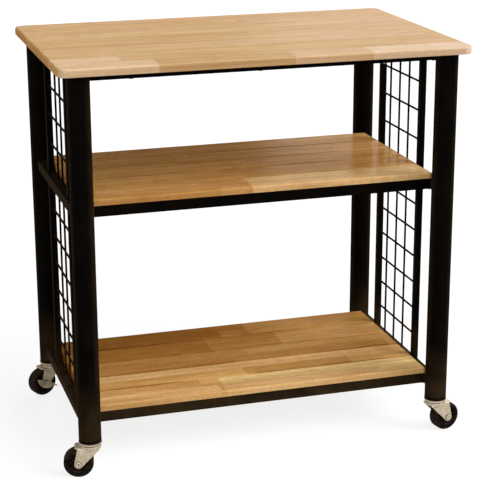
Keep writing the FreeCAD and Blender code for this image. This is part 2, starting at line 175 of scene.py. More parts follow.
def stave_wood(name, width, length, first_edge, tones, rows, tone_and_light_marks, shading, board, end_reach, end_tone,
               coat):
    """Rubberwood staves, edge-glued, planed and coated, all worked out in the solid.

    To the eye it is straight grain with short dark vessels, staves of slightly different tone and a soft
    sheen. Each stave is a cell of a running bond: its row is y over the stave's width, its place along the
    row is x over the stave's length plus a shift that differs from row to row. Every cell draws its own
    tone and its own pith, and the year rings are the distance from that pith, so they run on over the
    edges to the end grain.
    """
    material, tree, shader = new_material(name)
    place = add(tree, "TexCoord", out="Object")
    x, y, z = (add(tree, "SeparateXYZ", {0: place}, axis) for axis in "XYZ")

    # Which stave a point is in, and three draws for that stave
    across = add(tree, "Math", {0: y, 1: 1 / width, 2: -first_edge / width}, operation="MULTIPLY_ADD")
    row = add(tree, "Math", {0: across}, operation="FLOOR")
    row_draw = add(tree, "TexWhiteNoise", {"W": row}, "Value", noise_dimensions="1D")
    shift = add(tree, "Math", {0: row_draw, 1: ROW_SHIFT}, operation="MULTIPLY")
    along = add(tree, "Math", {0: x, 1: 1 / length, 2: shift}, operation="MULTIPLY_ADD")
    cell = add(tree, "Math", {0: along}, operation="FLOOR")
    layer = add(tree, "Math", {0: z, 1: LAYERS_PER_METRE}, operation="MULTIPLY")
    layer = add(tree, "Math", {0: layer}, operation="FLOOR")
    stave = add(tree, "CombineXYZ", {"X": row, "Y": cell, "Z": layer})
    draw = add(tree, "TexWhiteNoise", {"Vector": stave}, "Color", noise_dimensions="3D")
    draw_1, draw_2, draw_3 = (add(tree, "SeparateXYZ", {0: draw}, axis) for axis in "XYZ")

    # The patterns, shifted from stave to stave
    shifted = add(tree, "VectorMath", {0: draw, 1: PATTERN_SHIFT, 2: place}, operation="MULTIPLY_ADD")
    field = {}
    for key, (long, wide, detail) in GRAIN.items():
        size = (1 / long, 1 / wide, 1 / wide)
        stretched = add(tree, "VectorMath", {0: shifted, 1: size}, operation="MULTIPLY")
        noise = {"Vector": stretched, "Scale": 1.0, "Detail": detail}
        field[key] = add(tree, "TexNoise", noise, "Fac")

    # Year rings round a pith that lies under the stave and drifts along it
    pith = {}
    for key, drawn, (low, high) in (
        ("across", draw_1, PITH_ACROSS), ("drift", draw_2, PITH_DRIFT), ("depth", draw_3, PITH_DEPTH),
    ):
        pith[key] = add(tree, "Math", {0: drawn, 1: high - low, 2: low}, operation="MULTIPLY_ADD")
    in_stave = add(tree, "Math", {0: across, 1: row}, operation="SUBTRACT")
    off_y = add(tree, "Math", {0: in_stave, 1: pith["across"]}, operation="ADD")
    off_y = add(tree, "Math", {0: off_y, 1: width}, operation="MULTIPLY")
    depth = add(tree, "Math", {0: x, 1: pith["drift"], 2: z}, operation="MULTIPLY_ADD")
    off_z = add(tree, "Math", {0: depth, 1: pith["depth"]}, operation="ADD")
    spot = add(tree, "CombineXYZ", {"Y": off_y, "Z": off_z})
    from_pith = add(tree, "VectorMath", {0: spot}, "Value", operation="LENGTH")
    wandering = {0: field["cloud"], 1: RING_WANDER, 2: from_pith}
    from_pith = add(tree, "Math", wandering, operation="MULTIPLY_ADD")
    turns = add(tree, "Math", {0: from_pith, 1: 2 * math.pi / RING_PITCH}, operation="MULTIPLY")
    wave = add(tree, "Math", {0: turns}, operation="SINE")
    field["ring"] = add(tree, "Math", {0: wave, 1: 0.5, 2: 0.5}, operation="MULTIPLY_ADD")

    # Tone of the stave: its own draw and the tone of its row, which the photograph shows for each height, and
    # then the staves whose place and tone the photograph shows
    # The row tones and the marked staves also hold painted light and shade: lighter where light falls, darker
    # where shade falls
    to_rear = add(tree, "Math", {0: y, 1: -1 / (2 * first_edge), 2: 0.5}, operation="MULTIPLY_ADD")
    row_tones = []
    for levels in rows:
        stops = [(i / len(levels), level) for i, level in enumerate(levels)]
        ramp = add(tree, "ValToRGB", {"Fac": to_rear}, "Color", ramp=stops)
        ramp.node.color_ramp.interpolation = "CONSTANT"
        row_tones.append(add(tree, "SeparateXYZ", {0: ramp}, "X"))
    is_high = add(tree, "Math", {0: z, 1: SHELF_SPLIT}, operation="GREATER_THAN")
    row_tone = add(tree, "Mix", {0: is_high, 2: row_tones[0], 3: row_tones[-1]}, data_type="FLOAT")
    tone = add(tree, "Mix", {0: ROW_SHARE, 2: draw_1, 3: row_tone}, data_type="FLOAT")
    for *bounds, level in tone_and_light_marks:
        inside = 1.0
        for i, bound in enumerate(bounds):
            test = "LESS_THAN" if i % 2 else "GREATER_THAN"
            passed = add(tree, "Math", {0: (y, x, z)[i // 2], 1: bound}, operation=test)
            inside = add(tree, "Math", {0: passed, 1: inside}, operation="MULTIPLY")
        tone = add(tree, "Mix", {0: inside, 2: tone, 3: level}, data_type="FLOAT")
    stops = [(i / (len(tones) - 1), colour) for i, colour in enumerate(tones)]
    colour = add(tree, "ValToRGB", {"Fac": tone}, "Color", ramp=stops)

    # Each pattern darkens the wood
    shade = 1.0
    for key, (low, high, light, dark) in shading.items():
        part = add(tree, "MapRange", {
            "Value": field[key], "From Min": low, "From Max": high, "To Min": light, "To Max": dark,
        }, "Result")
        shade = add(tree, "Math", {0: part, 1: shade}, operation="MULTIPLY")
    edge_y = add(tree, "Math", {0: in_stave, 1: 0.5}, operation="PINGPONG")
    edge_y = add(tree, "Math", {0: edge_y, 1: width}, operation="MULTIPLY")
    edge_x = add(tree, "Math", {0: along, 1: 0.5}, operation="PINGPONG")
    edge_x = add(tree, "Math", {0: edge_x, 1: length}, operation="MULTIPLY")
    edge = add(tree, "Math", {0: edge_x, 1: edge_y}, operation="MINIMUM")
    glue = add(tree, "MapRange", {
        "Value": edge, "From Max": GLUE_WIDTH, "To Min": GLUE_DARK, "To Max": 1.0,
    }, "Result")
    shade = add(tree, "Math", {0: glue, 1: shade}, operation="MULTIPLY")

    # Painted shade darkens the edges where one board meets the next, as shade in the gaps between them
    board_width, groove_width, groove_shade = board
    groove_share = groove_width / board_width
    from_first = {0: y, 1: 1 / board_width, 2: -first_edge / board_width}
    in_board = add(tree, "Math", from_first, operation="MULTIPLY_ADD")
    groove = add(tree, "Math", {0: in_board, 1: 0.5}, operation="PINGPONG")
    groove = add(tree, "MapRange", {
        "Value": groove, "From Min": GROOVE_CORE_SHARE * groove_share, "From Max": groove_share,
        "To Min": groove_shade, "To Max": 1.0,
    }, "Result")
    off_middle = add(tree, "Math", {0: y}, operation="ABSOLUTE")
    last_groove = -first_edge - groove_width - GROOVE_MARGIN
    outer = add(tree, "Math", {0: off_middle, 1: last_groove}, operation="GREATER_THAN")
    groove = add(tree, "Math", {0: groove, 1: outer}, operation="MAXIMUM")
    groove_shade_patches = add(tree, "MapRange", {
        "Value": field["cloud"], "From Min": SHADE_PATCH_LOW, "From Max": SHADE_PATCH_HIGH,
        "To Min": SHADE_PATCH_LEAST, "To Max": SHADE_PATCH_MOST,
    }, "Result")
    groove = add(tree, "Mix", {0: groove_shade_patches, 2: 1.0, 3: groove}, data_type="FLOAT")
    shade = add(tree, "Math", {0: groove, 1: shade}, operation="MULTIPLY")

    red = add(tree, "Math", {0: shade, 1: RED_POWER}, operation="POWER")
    blue = add(tree, "Math", {0: shade, 1: BLUE_POWER}, operation="POWER")
    tint = add(tree, "CombineXYZ", {"X": red, "Y": shade, "Z": blue})
    colour = add(tree, "VectorMath", {0: colour, 1: tint}, operation="MULTIPLY")
    cast = add(tree, "Mix", {0: draw_2, 6: YELLOW_CAST, 7: PINK_CAST}, 2, data_type="RGBA")
    colour = add(tree, "VectorMath", {0: colour, 1: cast}, operation="MULTIPLY")

    # End grain drinks more of the coat and goes browner, over the last few millimetres of each end
    reach = add(tree, "Math", {0: x}, operation="ABSOLUTE")
    end = add(tree, "MapRange", {
        "Value": reach, "From Min": end_reach - END_FADE, "From Max": end_reach,
    }, "Result")
    end_colour = add(tree, "VectorMath", {0: colour, 1: linear(end_tone)[:3]}, operation="MULTIPLY")
    colour = add(tree, "Mix", {0: end, 6: colour, 7: end_colour}, 2, data_type="RGBA")
    tree.links.new(colour, shader.inputs["Base Color"])

    gloss_low, gloss_high, weight = coat
    gloss = add(tree, "MapRange", {
        "Value": field["fibre"], "From Min": FIELD_LOW, "From Max": FIELD_HIGH,
        "To Min": gloss_low, "To Max": gloss_high,
    }, "Result")
    thin_coat(tree, shader, weight, gloss)
    pore = add(tree, "MapRange", {
        "Value": field["vessel"], "From Min": PORE_LOW, "From Max": PORE_HIGH, "To Min": 1.0, "To Max": 0.0,
    }, "Result")
    relief = add(tree, "Math", {0: field["fibre"], 1: pore}, operation="ADD")
    relief = add(tree, "Math", {0: glue, 1: GLUE_DEPTH, 2: relief}, operation="MULTIPLY_ADD")
    relieve(tree, shader, relief, WOOD_RELIEF)
    return material


# Powder coat: sizes of the orange peel, of the cloudy gloss and of the rubbed places, and the cloud's values
# for the plain and for the scuffed colour
PEEL_SIZE = 1.6 * MM
PEEL_DEPTH = 0.03 * MM
COAT_CLOUD = 40 * MM
COAT_TONES = (0.30, 0.75)
RUB_SIZE = np.array([9, 9, 30]) * MM
RUB_LOW, RUB_HIGH = 0.60, 0.72
RUB_TINT, RUB_DULL = 0.35, 0.14
# Painted light on it, a brown glow as if thrown up by the floor and from lamps at the sides: full below the
# first height and gone above the second, and on walls by the x of their normal, counted from 0 for facing left
# to 1 for facing right
PAINTED_LIGHT_FULL, PAINTED_LIGHT_GONE = 90 * MM, 190 * MM
PAINTED_SIDE_LIGHT = [(0.01, 0.5), (0.09, 0.0), (0.65, 0.0), (0.95, 0.7)]
DUST_SHEEN = {"Sheen Weight": 0.40, "Sheen Roughness": 0.20, "Sheen Tint": linear("#A88A60")}
COAT_FILM = 0.028
COAT_GLOSS = (0.36, 0.46)


def powder_coat(name, colour, scuffed, painted_light_colour):
    """Polyester powder baked on steel: warm black, satin, finely orange-peeled, with a few rubbed places.

    A thin brown dust glows along the edges of round tubes. Brown painted light lies on the walls that face left
    and right and over the lowest 190 mm above the floor, as if lit from the sides and from the floor.
    """
    material, tree, shader = new_material(name)
    place = add(tree, "TexCoord", out="Object")
    peel = add(tree, "TexNoise", {"Vector": place, "Scale": 1 / PEEL_SIZE, "Detail": 2.0}, "Fac")
    cloud = add(tree, "TexNoise", {"Vector": place, "Scale": 1 / COAT_CLOUD, "Detail": 4.0}, "Fac")
    rubbed = add(tree, "VectorMath", {0: place, 1: (1 / RUB_SIZE).tolist()}, operation="MULTIPLY")
    rub = {"Vector": rubbed, "Scale": 1.0, "Detail": 5.0, "Roughness": 0.65}
    rub = add(tree, "TexNoise", rub, "Fac")
    rub = add(tree, "MapRange", {"Value": rub, "From Min": RUB_LOW, "From Max": RUB_HIGH}, "Result")
    tint = add(tree, "ValToRGB", {"Fac": cloud}, "Color", ramp=list(zip(COAT_TONES, (colour, scuffed))))
    rub_tint = add(tree, "Math", {0: rub, 1: RUB_TINT}, operation="MULTIPLY")
    tint = add(tree, "Mix", {0: rub_tint, 6: tint, 7: linear(scuffed)}, 2, data_type="RGBA")

    # Painted light: the lowest parts and the walls facing left and right turn brown, as if lit from the floor and
    # the sides
    low = add(tree, "SeparateXYZ", {0: place}, "Z")
    low = add(tree, "MapRange", {
        "Value": low, "From Min": PAINTED_LIGHT_FULL, "From Max": PAINTED_LIGHT_GONE, "To Min": 1.0, "To Max": 0.0,
    }, "Result")
    side_light = add(tree, "SeparateXYZ", {0: add(tree, "NewGeometry", out="Normal")}, "X")
    side_light = add(tree, "MapRange", {"Value": side_light, "From Min": -1.0}, "Result")
    side_light = add(tree, "ValToRGB", {"Fac": side_light}, "Color", ramp=PAINTED_SIDE_LIGHT)
    dust_and_painted_light = add(tree, "Math", {0: low, 1: side_light}, operation="MAXIMUM")
    dust_and_painted_light = add(tree, "Math", {0: dust_and_painted_light, 1: cloud}, operation="MULTIPLY")
    tint = add(tree, "Mix", {0: dust_and_painted_light, 6: tint, 7: linear(painted_light_colour)}, 2, data_type="RGBA")
    tree.links.new(tint, shader.inputs["Base Color"])
    for socket, value in DUST_SHEEN.items():
        shader.inputs[socket].default_value = value

    gloss = add(tree, "MapRange", {
        "Value": cloud, "From Min": FIELD_LOW, "From Max": FIELD_HIGH,
        "To Min": COAT_GLOSS[0], "To Max": COAT_GLOSS[1],
    }, "Result")
    gloss = add(tree, "Math", {0: rub, 1: RUB_DULL, 2: gloss}, operation="MULTIPLY_ADD")
    thin_coat(tree, shader, COAT_FILM, gloss)
    relieve(tree, shader, peel, PEEL_DEPTH)
    return material


# Zinc: sizes of the spangle, of its clouds and of the drawing marks, and the spangle's share in the tone
SPANGLE_SIZE = 2.6 * MM
SPANGLE_SHARE = 0.22
ZINC_CLOUD = 12 * MM
DRAWN_SIZE = np.array([0.7, 0.7, 9]) * MM
DRAWN_DEPTH = 0.02 * MM
ZINC_TONES = (0.25, 0.70)
ZINC_LOW, ZINC_HIGH = 0.25, 0.75
ZINC_ROUGHNESS = (0.72, 0.58)
# Heights of the two joints of the swivel race, and half the width of the line of painted shade at each
RACE_JOINTS = ((64.2 * MM, 1.5 * MM), (69.5 * MM, 1.3 * MM))
SHADE_LINE_CORE_SHARE = 0.4
SHADE_LINE_MOST = 0.85


def zinc_plate(name, bright, dull, painted_shade_colour):
    """Pressed steel with a warm chromate zinc plating: satin metal with faint spangle and drawing marks.

    Painted shade darkens the joints of the swivel race, the rims of the rivets and their dimples.
    """
    material, tree, shader = new_material(name)
    place = add(tree, "TexCoord", out="Object")
    spangle = add(tree, "TexVoronoi", {"Vector": place, "Scale": 1 / SPANGLE_SIZE}, "Color")
    spangle = add(tree, "SeparateXYZ", {0: spangle}, "X")
    cloud = add(tree, "TexNoise", {"Vector": place, "Scale": 1 / ZINC_CLOUD, "Detail": 4.0}, "Fac")
    drawn = add(tree, "VectorMath", {0: place, 1: (1 / DRAWN_SIZE).tolist()}, operation="MULTIPLY")
    marks = add(tree, "TexNoise", {"Vector": drawn, "Scale": 1.0, "Detail": 2.0}, "Fac")
    mixed = add(tree, "Mix", {0: SPANGLE_SHARE, 2: cloud, 3: spangle}, data_type="FLOAT")
    tones = list(zip(ZINC_TONES, (dull, bright)))
    tint = add(tree, "ValToRGB", {"Fac": mixed}, "Color", ramp=tones)

    # Painted shade: darker at the race joints and at the rims and dimples of the rivet heads
    painted_shade = add(tree, "Attribute", out="Fac", attribute_name="dust_and_painted_shade")
    height = add(tree, "SeparateXYZ", {0: place}, "Z")
    for joint_z, half in RACE_JOINTS:
        off = add(tree, "Math", {0: height, 1: joint_z}, operation="SUBTRACT")
        off = add(tree, "Math", {0: off}, operation="ABSOLUTE")
        line = add(tree, "MapRange", {
            "Value": off, "From Min": SHADE_LINE_CORE_SHARE * half, "From Max": half,
            "To Min": SHADE_LINE_MOST, "To Max": 0.0,
        }, "Result")
        painted_shade = add(tree, "Math", {0: painted_shade, 1: line}, operation="MAXIMUM")
    tint = add(tree, "Mix", {0: painted_shade, 6: tint, 7: linear(painted_shade_colour)}, 2, data_type="RGBA")
    tree.links.new(tint, shader.inputs["Base Color"])

    shader.inputs["Metallic"].default_value = 1.0
    gloss = add(tree, "MapRange", {
        "Value": mixed, "From Min": ZINC_LOW, "From Max": ZINC_HIGH,
        "To Min": ZINC_ROUGHNESS[0], "To Max": ZINC_ROUGHNESS[1],
    }, "Result")
    tree.links.new(gloss, shader.inputs["Roughness"])
    relieve(tree, shader, marks, DRAWN_DEPTH)
    return material


# Moulded plastic: sizes of its grain and of its cloudy gloss, and the cloud's values for black and for dust
MOULD_GRAIN = 0.8 * MM
MOULD_DEPTH = 0.02 * MM
MOULD_CLOUD = 9 * MM
MOULD_TONES = (0.42, 0.85)


def moulded_black(name, colour, worn, gloss_low, gloss_high, film):
    """Injection-moulded black polypropylene: a fine moulded grain and uneven gloss.

    Brown floor dust lies where the tread is worn.
    """
    material, tree, shader = new_material(name)
    place = add(tree, "TexCoord", out="Object")
    grain = add(tree, "TexNoise", {"Vector": place, "Scale": 1 / MOULD_GRAIN, "Detail": 2.0}, "Fac")
    cloud = {"Vector": place, "Scale": 1 / MOULD_CLOUD, "Detail": 4.0, "Roughness": 0.6}
    cloud = add(tree, "TexNoise", cloud, "Fac")
    tint = add(tree, "ValToRGB", {"Fac": cloud}, "Color", ramp=list(zip(MOULD_TONES, (colour, worn))))
    dust_and_painted_light = add(tree, "Attribute", out="Fac", attribute_name="dust_and_painted_shade")
    dust_and_painted_light = add(tree, "Math", {0: dust_and_painted_light, 1: cloud}, operation="MULTIPLY")
    tint = add(tree, "Mix", {0: dust_and_painted_light, 6: tint, 7: linear(worn)}, 2, data_type="RGBA")
    tree.links.new(tint, shader.inputs["Base Color"])
    gloss = add(tree, "MapRange", {
        "Value": cloud, "From Min": FIELD_LOW, "From Max": FIELD_HIGH,
        "To Min": gloss_low, "To Max": gloss_high,
    }, "Result")
    thin_coat(tree, shader, film, gloss)
    relieve(tree, shader, grain, MOULD_DEPTH)
    return material


# How far each pattern darkens the wood: its field's low and high value, and the factor at each
TOP_SHADING = {
    "cloud": (0.30, 0.70, 1.05, 0.93),
    "streak": (0.40, 0.72, 1.02, 0.82),
    "fibre": (0.30, 0.70, 1.03, 0.93),
    "vessel": (0.60, 0.74, 1.00, 0.84),
    "fleck": (0.68, 0.78, 1.00, 0.84),
    "speck": (0.30, 0.70, 1.03, 0.97),
    "ring": (0.0, 1.0, 1.02, 0.95),
}
SLAT_SHADING = {
    "cloud": (0.30, 0.70, 1.12, 0.82),
    "streak": (0.36, 0.70, 1.03, 0.80),
    "fibre": (0.30, 0.70, 1.03, 0.93),
    "vessel": (0.60, 0.74, 1.00, 0.78),
    "fleck": (0.66, 0.78, 1.00, 0.80),
    "speck": (0.30, 0.70, 1.08, 0.92),
    "ring": (0.0, 1.0, 1.03, 0.94),
}
# In the marked staves: low and high y, low and high x, low and high z, and the tone from 0 to 1; on the
# shelves some of these tones are painted light and shade. A board is its width, the width of the groove at its
# edges and how dark its painted shade is; a coat is its gloss range and weight
WORKTOP_WOOD = stave_wood(
    name="rubberwood_staves_satin_lacquered",
    width=49 * MM, length=410 * MM, first_edge=-245 * MM,
    tones=["#C59B6F", "#CFA97E", "#D5B187", "#D9B691", "#E9D1B5"],
    rows=[[0.35, 0.45, 0.40, 0.62, 0.50, 0.40, 0.62, 0.55, 0.40, 0.50]],
    # The right front stave is a pale stave, its tone raised further as painted highlight along the rounded front
    # edge
    tone_and_light_marks=[
        (-250 * MM, -196 * MM, -400 * MM, -208 * MM, 0.0, 1.0, 0.81),
        (-196 * MM, -147 * MM, -400 * MM, -262 * MM, 0.0, 1.0, 0.81),
        (-250 * MM, -196 * MM, -208 * MM, 40 * MM, 0.0, 1.0, 0.20),
        (-250 * MM, -196 * MM, 40 * MM, 187 * MM, 0.0, 1.0, 0.72),
        (-250 * MM, -196 * MM, 187 * MM, 400 * MM, 0.0, 1.0, 0.91),
    ],
    shading=TOP_SHADING, board=(490 * MM, 0.5 * MM, 1.0),
    # The end tone browns the worktop's ends only a little: browner end grain, and painted light on the left end in
    # place of a lamp
    end_reach=384 * MM, end_tone="#FFE9BC", coat=(0.26, 0.42, 0.034),
)
SLAT_WOOD = stave_wood(
    name="rubberwood_staves_oiled",
    width=35.15 * MM, length=330 * MM, first_edge=-175.75 * MM,
    tones=["#9A6428", "#B27E3F", "#C29255", "#D2A366", "#E4C48C"],
    # Painted shade and light in the row tones: the lower shelf darkens towards the rear, under the middle shelf,
    # and the middle shelf lightens towards the rear
    rows=[[0.75, 0.78, 0.46, 0.32, 0.10], [0.54, 0.46, 0.60, 0.64, 0.66]],
    # Painted shade and light in the marks: the lower shelf's back left is darkened, and its back right and the
    # front right of both shelves are lightened
    tone_and_light_marks=[
        (-176 * MM, -140.6 * MM, -18 * MM, 400 * MM, SHELF_SPLIT, 1.0, 0.88),
        (-140.6 * MM, -105 * MM, -18 * MM, 400 * MM, SHELF_SPLIT, 1.0, 0.90),
        (-105 * MM, -70 * MM, -10 * MM, 210 * MM, 0.0, 1.0, 0.45),
        (-176 * MM, -140.6 * MM, -70 * MM, 400 * MM, 0.0, SHELF_SPLIT, 0.84),
        (-140.6 * MM, -105 * MM, -70 * MM, 400 * MM, 0.0, SHELF_SPLIT, 0.95),
        (35 * MM, 105 * MM, -400 * MM, -40 * MM, 0.0, SHELF_SPLIT, 0.12),
        (105 * MM, 176 * MM, -400 * MM, 0.0, 0.0, SHELF_SPLIT, 0.04),
        (35 * MM, 105 * MM, 110 * MM, 400 * MM, 0.0, SHELF_SPLIT, 0.52),
        (105 * MM, 176 * MM, 60 * MM, 400 * MM, 0.0, SHELF_SPLIT, 0.40),
    ],
    shading=SLAT_SHADING, board=(70.3 * MM, 4.0 * MM, 0.36),
    end_reach=337 * MM, end_tone="#D8BC92", coat=(0.12, 0.20, 0.018),
)
POWDER_COAT = powder_coat("powder_coated_steel", "#040302", "#0C0805", "#3E2F1C")
ZINC = zinc_plate("zinc_plated_pressed_steel", "#C4B7A2", "#A0937D", "#3A3026")
# The rear casters' zinc is a darker copy, as painted shade
SHADED_REAR_ZINC = zinc_plate("dull_zinc_plated_pressed_steel", "#AFA189", "#8A7E67", "#33291F")
# The brakes are drawn in a darker zinc than the forks
BRAKE_ZINC = zinc_plate("darker_zinc_plated_steel", "#9C8F77", "#73684F", "#2C241A")
WHEEL_PLASTIC = moulded_black("moulded_polypropylene_wheel", "#060403", "#34261A", 0.22, 0.36, 0.07)
SOCKET_PLASTIC = moulded_black("moulded_plastic_socket", "#080605", "#15110C", 0.36, 0.50, 0.06)

SLOT_MATERIALS = {
    "hardwood": SLAT_WOOD,
    "powder_coat": POWDER_COAT,
    "zinc_plate": ZINC,
    "wheel_plastic": WHEEL_PLASTIC,
    "socket_plastic": SOCKET_PLASTIC,
}


def paint_nodes():
    """Gives every CAD node the finish of its slot.

    The worktop and the brakes have finishes of their own, and the zinc of the rear casters is darker, as painted
    shade.
    """
    own = {"worktop": WORKTOP_WOOD, "rear_left_brake": BRAKE_ZINC, "rear_right_brake": BRAKE_ZINC}
    for part in frame["record"]["subparts"]:
        name, slot = part["node"], part["material_slot"]
        is_rear_zinc = slot == "zinc_plate" and name.startswith("rear_")
        material = own.get(name, SHADED_REAR_ZINC if is_rear_zinc else SLOT_MATERIALS[slot])
        NODES[name].data.materials.clear()
        NODES[name].data.materials.append(material)


MERGE_REACH = 1e-7


def piece(name, grids, body, material, dust_and_painted_shade=None):
    """A mesh from grids of points: each grid is (rows, columns, 3), and is closed round its columns.

    Rows are joined in order, the last column is joined to the first, and coinciding points are merged, so
    a row whose points coincide becomes a pole. The dust and painted shade, one value for each row, go with the
    points as an attribute.
    """
    points, faces, start = [], [], 0
    for grid in grids:
        rows, columns = grid.shape[:2]
        index = start + np.arange(rows * columns).reshape(rows, columns)
        turned = np.roll(index, -1, axis=1)
        quads = np.stack([index[:-1], turned[:-1], turned[1:], index[1:]], axis=-1)
        faces.append(quads.reshape(-1, 4))
        points.append(grid.reshape(-1, 3))
        start += rows * columns
    mesh = bpy.data.meshes.new(name)
    mesh.from_pydata(np.concatenate(points).tolist(), [], np.concatenate(faces).tolist())
    if dust_and_painted_shade is not None:
        values = np.repeat(dust_and_painted_shade, grids[0].shape[1]).astype(np.float32)
        mesh.attributes.new("dust_and_painted_shade", "FLOAT", "POINT").data.foreach_set("value", values)
    work = bmesh.new()
    work.from_mesh(mesh)
    bmesh.ops.remove_doubles(work, verts=work.verts, dist=MERGE_REACH)
    bmesh.ops.recalc_face_normals(work, faces=work.faces)
    work.to_mesh(mesh)
    work.free()
    mesh.polygons.foreach_set("use_smooth", np.ones(len(mesh.polygons), dtype=bool))
    mesh.materials.append(material)
    made = bpy.data.objects.new(name, mesh)
    bpy.context.scene.collection.objects.link(made)
    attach(made, body)
    return made


# Weld beads: the step along a bead, the length of a ripple, its share of the bead's radius and the sides of
# its section, and then the radius and the round corner at each kind of joint
BEAD_STEP = 0.9 * MM
BEAD_RIPPLE = 3.4 * MM
BEAD_RIPPLE_SHARE = 0.1
BEAD_SIDES = 8
BEAD_LEAST_STEPS = 8
CORNER_STEPS = 6
RAIL_BEAD = 1.5 * MM
BEARER_BEAD = 1.4 * MM
UPRIGHT_BEAD = 1.2 * MM
RAIL_CORNER = 2 * MM
UPRIGHT_CORNER = 1.2 * MM
UPRIGHT_HALF = 6 * MM


def outline(half_u, half_v, corner, is_open):
    """Points about BEAD_STEP apart round a rectangle with round corners, from the middle of its top.

    A quarter circle stands at each corner. An open outline leaves out the top side, from corner to corner.
    """
    turn = np.linspace(0, math.pi / 2, CORNER_STEPS)
    arcs = []
    for i, (su, sv) in enumerate(((1, 1), (1, -1), (-1, -1), (-1, 1))):
        angle = math.pi / 2 - turn - i * math.pi / 2
        arcs.append(np.stack([su * (half_u - corner) + corner * np.cos(angle),
                              sv * (half_v - corner) + corner * np.sin(angle)], axis=1))
    if is_open:
        half = CORNER_STEPS // 2
        arcs[0], arcs[3] = arcs[0][half:], arcs[3][:half]
        ring = np.concatenate(arcs)
    else:
        ring = np.concatenate(arcs + [arcs[0][:1]])
    length = np.concatenate([[0], np.cumsum(np.linalg.norm(np.diff(ring, axis=0), axis=1))])
    steps = np.linspace(0, length[-1], max(BEAD_LEAST_STEPS, int(length[-1] / BEAD_STEP)))
    return np.stack([np.interp(steps, length, ring[:, k]) for k in (0, 1)], axis=1)


def bead(path, axis, radius, is_open):
    """A weld bead: a circle carried along a path, swelling and shrinking by a tenth with each ripple.

    The circle lies across the path's direction; its own axes are the given axis made square to that
    direction and their cross product. An open bead shrinks to a point at each end.
    """
    axis = np.array(axis, dtype=float)
    along = np.gradient(path, axis=0)
    if not is_open:
        along[0] = along[-1] = path[1] - path[-2]
    along /= np.linalg.norm(along, axis=1, keepdims=True)
    first = axis - (along @ axis)[:, None] * along
    first /= np.linalg.norm(first, axis=1, keepdims=True)
    second = np.cross(along, first)
    run = np.arange(len(path)) * BEAD_STEP
    size = radius * (1 + BEAD_RIPPLE_SHARE * np.cos(2 * math.pi * run / BEAD_RIPPLE))
    if is_open:
        size = size * np.sqrt(np.clip(np.minimum(run, run[-1] - run) / radius, 0, 1))
    else:
        size[-1] = size[0]
    angle = np.linspace(0, 2 * math.pi, BEAD_SIDES, endpoint=False)
    across = first[:, None] * np.cos(angle)[:, None] + second[:, None] * np.sin(angle)[:, None]
    return path[:, None] + size[:, None, None] * across


def middle(node):
    """Centre and half size of a CAD node's box."""
    low, high = (np.array(corner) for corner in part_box(node))
    return (low + high) / 2, (high - low) / 2


def side_rail_welds():
    """Beads where the side rails meet the legs: the rail's outline, laid on the leg's round wall."""
    beads = []
    for level in LEVELS:
        for side in SIDES:
            centre, half = middle(f"{level}_{side}_rail")
            flat = outline(half[0], half[2], RAIL_CORNER, level == "top")
            for end in ENDS:
                leg, leg_half = middle(f"{end}_{side}_leg")
                away = np.sign(centre[1] - leg[1])
                wall_y = leg[1] + away * np.sqrt(leg_half[0] ** 2 - flat[:, 0] ** 2)
                path = np.stack([centre[0] + flat[:, 0], wall_y, centre[2] + flat[:, 1]], axis=1)
                beads.append(bead(path, (0, 1, 0), RAIL_BEAD, level == "top"))
    return beads


def cross_rail_welds():
    """Beads where the cross rails butt on the side rails and the bearers on the cross rails."""
    beads = []
    for level in LEVELS:
        for end in ENDS:
            centre, half = middle(f"{level}_{end}_rail")
            flat = outline(half[1], half[2], RAIL_CORNER, True)
            y, z = centre[1] + flat[:, 0], centre[2] + flat[:, 1]
            for side in (-1, 1):
                path = np.stack([np.full(len(flat), side * half[0]), y, z], axis=1)
                beads.append(bead(path, (1, 0, 0), RAIL_BEAD, True))
    for level in LEVELS[:2]:
        for side in SIDES:
            centre, half = middle(f"{level}_{side}_bearer")
            flat = outline(half[0], half[2], RAIL_CORNER, True)
            x, z = centre[0] + flat[:, 0], centre[2] + flat[:, 1]
            for end in (-1, 1):
                path = np.stack([x, np.full(len(flat), end * half[1]), z], axis=1)
                beads.append(bead(path, (0, 1, 0), BEARER_BEAD, True))
    return beads


# Grilles: cells from rail to rail, and the wires' half thickness, pitch, sink into each other and inset
CELLS = {"lower": 7, "upper": 4}
WIRE_HALF = 2.0 * MM
WIRE_PITCH = 47.0 * MM
WIRE_SINK = 0.1 * MM
MESH_INSET = 2.5 * MM


def upright_welds():
    """Beads round the foot and the head of every upright of the grilles."""
    beads = []
    flat = outline(UPRIGHT_HALF, UPRIGHT_HALF, UPRIGHT_CORNER, False)
    for grille in CELLS:
        for side in SIDES:
            centre, half = middle(f"{grille}_{side}_uprights")
            for end in (-1, 1):
                x, y = centre[0] + flat[:, 0], centre[1] + end * (half[1] - UPRIGHT_HALF) + flat[:, 1]
                for top in (-1, 1):
                    z = np.full(len(flat), centre[2] + top * half[2])
                    beads.append(bead(np.stack([x, y, z], axis=1), (0, 0, 1), UPRIGHT_BEAD, False))
    return beads


# A tack's radius and height, how far its foot reaches into the wall, and its rows and columns of points
TACK_RADIUS = 2.8 * MM
TACK_HEIGHT = 1.6 * MM
TACK_SINK = 0.1 * MM
TACK_ROWS, TACK_COLUMNS = 5, 10


